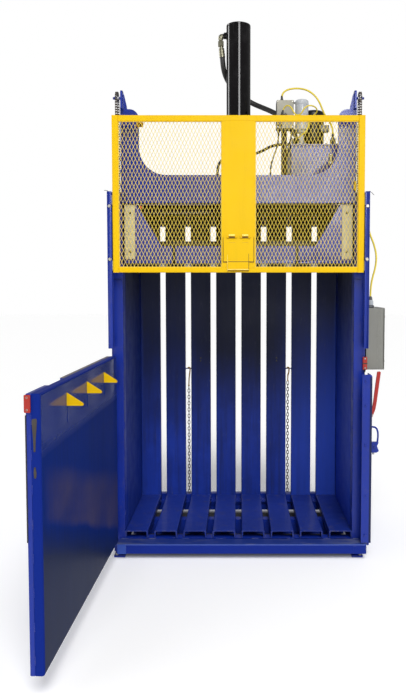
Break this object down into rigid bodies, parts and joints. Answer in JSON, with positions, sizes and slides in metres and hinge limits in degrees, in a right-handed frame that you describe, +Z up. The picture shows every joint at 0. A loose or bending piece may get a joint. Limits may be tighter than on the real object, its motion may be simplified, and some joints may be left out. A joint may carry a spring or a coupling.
{
  "type": "vertical cardboard baler",
  "caption": "Upright hydraulic cardboard baler in blue with a yellow mesh gate raised above the feed opening and its bale door standing open.",
  "frame": {"origin": "on the floor, in the middle of the bale chamber, on the underside of the middle bearer", "axes": "+Z up, +X to the right of a person facing the front, the front faces -Y"},
  "size_m": [1.8968, 2.6042, 3.622],
  "materials": {
    "blue_paint": "gloss",
    "yellow_paint": "gloss",
    "black_paint": "satin",
    "grey_enclosure": "satin",
    "red_plastic": "gloss",
    "bare_steel": "brushed",
    "plated_fittings": "polished",
    "wear_plastic": "matte",
    "rubber_hose": "matte",
    "yellow_cable": "matte",
    "chain_steel": "oiled",
    "filter_paint": "satin"
  },
  "bodies": {
    "machine": {"base_frame": "blue_paint", "sill": "blue_paint", "floor_channels": "blue_paint", "back_channels": "blue_paint", "rear_frame": "blue_paint", "side_walls": "blue_paint", "front_posts": "blue_paint", "head_front_plate": "blue_paint", "head_beams": "blue_paint", "cylinder_barrel": "black_paint", "cylinder_gland": "black_paint", "oil_tank": "blue_paint", "motor": "black_paint", "return_filter": "filter_paint", "valve_block": "bare_steel", "tank_fittings": "black_paint", "starter_box": "grey_enclosure", "cable_fittings": "black_paint", "hose_upper": "rubber_hose", "hose_lower": "rubber_hose", "hose_fittings": "plated_fittings", "starter_leads": "rubber_hose", "motor_cable": "yellow_cable", "solenoid_cable": "yellow_cable", "control_cable": "yellow_cable", "control_box": "grey_enclosure", "door_hinges": "blue_paint", "interlock_switch": "red_plastic", "latch_hinges": "blue_paint", "gate_guides": "blue_paint", "sprocket_brackets": "blue_paint", "gate_chain_wraps": "chain_steel", "gate_chain_front": "chain_steel", "gate_chain_rear_left": "chain_steel", "gate_chain_rear_right": "chain_steel", "ejector_chains": "chain_steel", "ejector_hooks": "yellow_paint"},
    "door": {"door_skin": "blue_paint", "door_panel": "blue_paint", "interlock_magnet": "red_plastic"},
    "dog_1": {"door_dog_1": "yellow_paint"},
    "dog_2": {"door_dog_2": "yellow_paint"},
    "dog_3": {"door_dog_3": "yellow_paint"},
    "gate": {"gate_frame": "yellow_paint", "gate_mesh": "yellow_paint"},
    "flap": {"gate_flap": "yellow_paint"},
    "counterweight_left": {"counterweight_left": "black_paint"},
    "counterweight_right": {"counterweight_right": "black_paint"},
    "sprocket_left": {"sprocket_left": "bare_steel"},
    "sprocket_right": {"sprocket_right": "bare_steel"},
    "platen": {"platen_frame": "blue_paint", "platen_wear_strips": "wear_plastic", "piston_rod": "plated_fittings"},
    "latch": {"latch_bar": "blue_paint", "latch_lever": "red_plastic", "latch_handle": "blue_paint"},
    "control_door": {"control_box_door": "grey_enclosure"},
    "start_button": {"start_button": "red_plastic"},
    "stop_button": {"stop_button": "red_plastic"},
    "key_switch": {"key_switch": "black_paint"}
  },
  "joints": [
    {"name": "door_hinge", "type": "hinge", "parent": "machine", "child": "door", "pos_m": [-0.83, -0.4475, 0.71], "axis": [0, 0, 1], "range_deg": [-80, 91.5]},
    {"name": "dog_1_pivot", "type": "hinge", "parent": "door", "child": "dog_1", "pos_m": [-0.82258, -0.85183, 1.268], "axis": [-0.0262, -0.9997, 0], "range_deg": [-66, 0], "stiffness_Nm_per_rad": 0.6, "springref_deg": 57.3},
    {"name": "dog_2_pivot", "type": "hinge", "parent": "door", "child": "dog_2", "pos_m": [-0.83344, -1.26669, 1.268], "axis": [-0.0262, -0.9997, 0], "range_deg": [-66, 0], "stiffness_Nm_per_rad": 0.6, "springref_deg": 57.3},
    {"name": "dog_3_pivot", "type": "hinge", "parent": "door", "child": "dog_3", "pos_m": [-0.84384, -1.66355, 1.268], "axis": [-0.0262, -0.9997, 0], "range_deg": [-66, 0], "stiffness_Nm_per_rad": 0.6, "springref_deg": 57.3},
    {"name": "gate_slide", "type": "slide", "parent": "machine", "child": "gate", "axis": [0, 0, 1], "range_m": [-0.49, 0], "deforming": ["gate_chain_front"]},
    {"name": "flap_hinge", "type": "hinge", "parent": "gate", "child": "flap", "pos_m": [0, -0.49, 2.111], "axis": [1, 0, 0], "range_deg": [-80, 0]},
    {"name": "counterweight_left_slide", "type": "slide", "parent": "machine", "child": "counterweight_left", "axis": [0, 0, 1], "range_m": [0, 0.49], "deforming": ["gate_chain_rear_left"]},
    {"name": "sprocket_left_turn", "type": "hinge", "parent": "machine", "child": "sprocket_left", "pos_m": [-0.784, -0.4075, 3.012], "axis": [1, 0, 0], "range_deg": [-5, 795]},
    {"name": "counterweight_right_slide", "type": "slide", "parent": "machine", "child": "counterweight_right", "axis": [0, 0, 1], "range_m": [0, 0.49], "deforming": ["gate_chain_rear_right"]},
    {"name": "sprocket_right_turn", "type": "hinge", "parent": "machine", "child": "sprocket_right", "pos_m": [0.784, -0.4075, 3.012], "axis": [1, 0, 0], "range_deg": [-5, 795]},
    {"name": "platen_slide", "type": "slide", "parent": "machine", "child": "platen", "axis": [0, 0, 1], "range_m": [-1.05, 0]},
    {"name": "latch_turn", "type": "hinge", "parent": "machine", "child": "latch", "pos_m": [0.868, -0.3775, 0.645], "axis": [0, 0, 1], "range_deg": [-12, 60]},
    {"name": "control_door_hinge", "type": "hinge", "parent": "machine", "child": "control_door", "pos_m": [0.975, -0.0835, 1.45], "axis": [0, 0, 1], "range_deg": [0, 110]},
    {"name": "start_press", "type": "slide", "parent": "control_door", "child": "start_button", "axis": [-1, 0, 0], "range_m": [0, 0.004], "stiffness_N_per_m": 500, "springref_m": -0.004},
    {"name": "stop_press", "type": "slide", "parent": "control_door", "child": "stop_button", "axis": [-1, 0, 0], "range_m": [0, 0.006], "stiffness_N_per_m": 600, "springref_m": -0.004},
    {"name": "key_turn", "type": "hinge", "parent": "control_door", "child": "key_switch", "pos_m": [0.966, -0.2395, 1.45], "axis": [1, 0, 0], "range_deg": [0, 90]}
  ],
  "couplings": [
    {"joint": "counterweight_left_slide", "follows": "gate_slide", "ratio": -1},
    {"joint": "sprocket_left_turn", "follows": "gate_slide", "rad_per_m": -28.034},
    {"joint": "counterweight_right_slide", "follows": "gate_slide", "ratio": -1},
    {"joint": "sprocket_right_turn", "follows": "gate_slide", "rad_per_m": -28.034}
  ]
}
